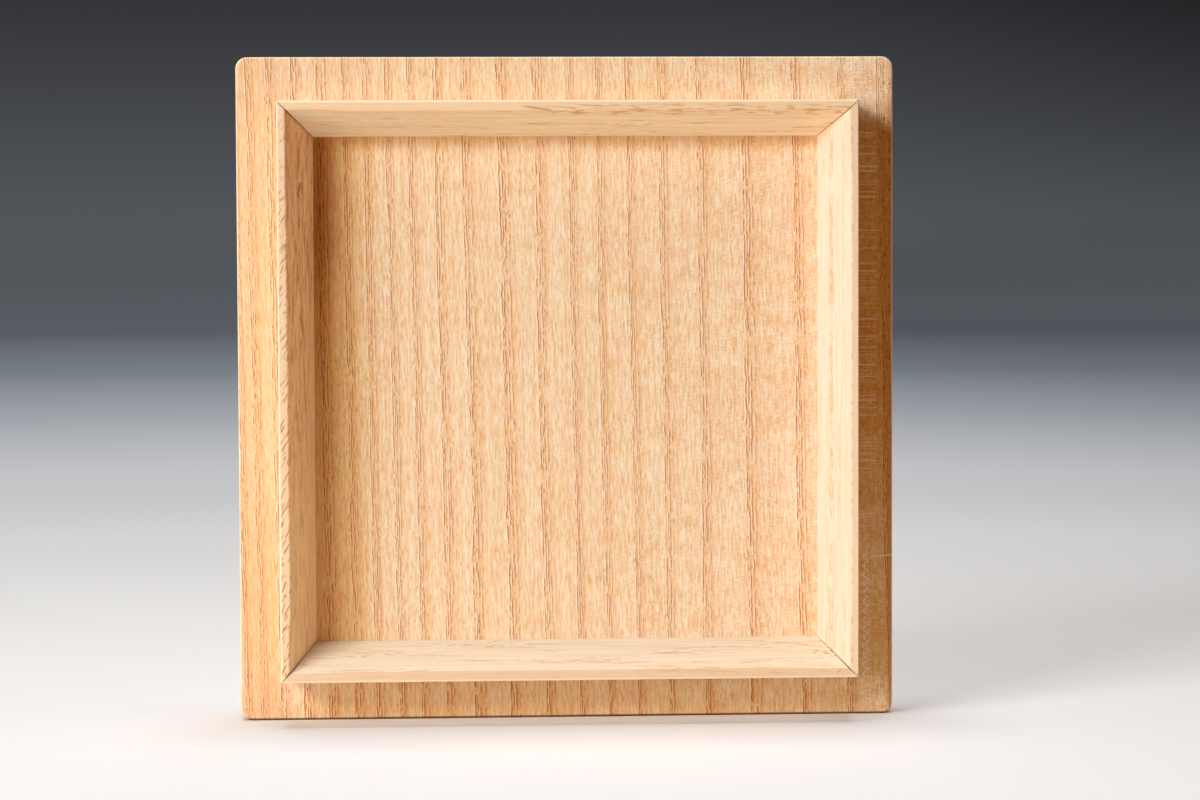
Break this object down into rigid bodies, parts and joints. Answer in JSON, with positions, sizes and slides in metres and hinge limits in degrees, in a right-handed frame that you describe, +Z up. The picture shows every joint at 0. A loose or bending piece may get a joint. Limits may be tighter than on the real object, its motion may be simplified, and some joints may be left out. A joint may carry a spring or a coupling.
{
  "type": "box lid",
  "caption": "Square wooden box lid with a mitred frame of bevelled battens on its underside that drops into the mouth of the box.",
  "frame": {"origin": "middle of the foot of the bounding box: the lid stands on the edge that is down in the picture", "axes": "+Z up, along the board's grain; +X across the board to the right, seen from the battens' side; -Y out of the underside, the way the battens stand off the board"},
  "size_m": [0.108, 0.018, 0.109],
  "materials": {
    "board_wood": "bare planed paulownia, quarter sawn",
    "batten_wood": "bare planed paulownia, paler"
  },
  "bodies": {
    "root": {"lid_board": "board_wood", "top_batten": "batten_wood", "bottom_batten": "batten_wood", "left_batten": "batten_wood", "right_batten": "batten_wood"}
  },
  "joints": []
}
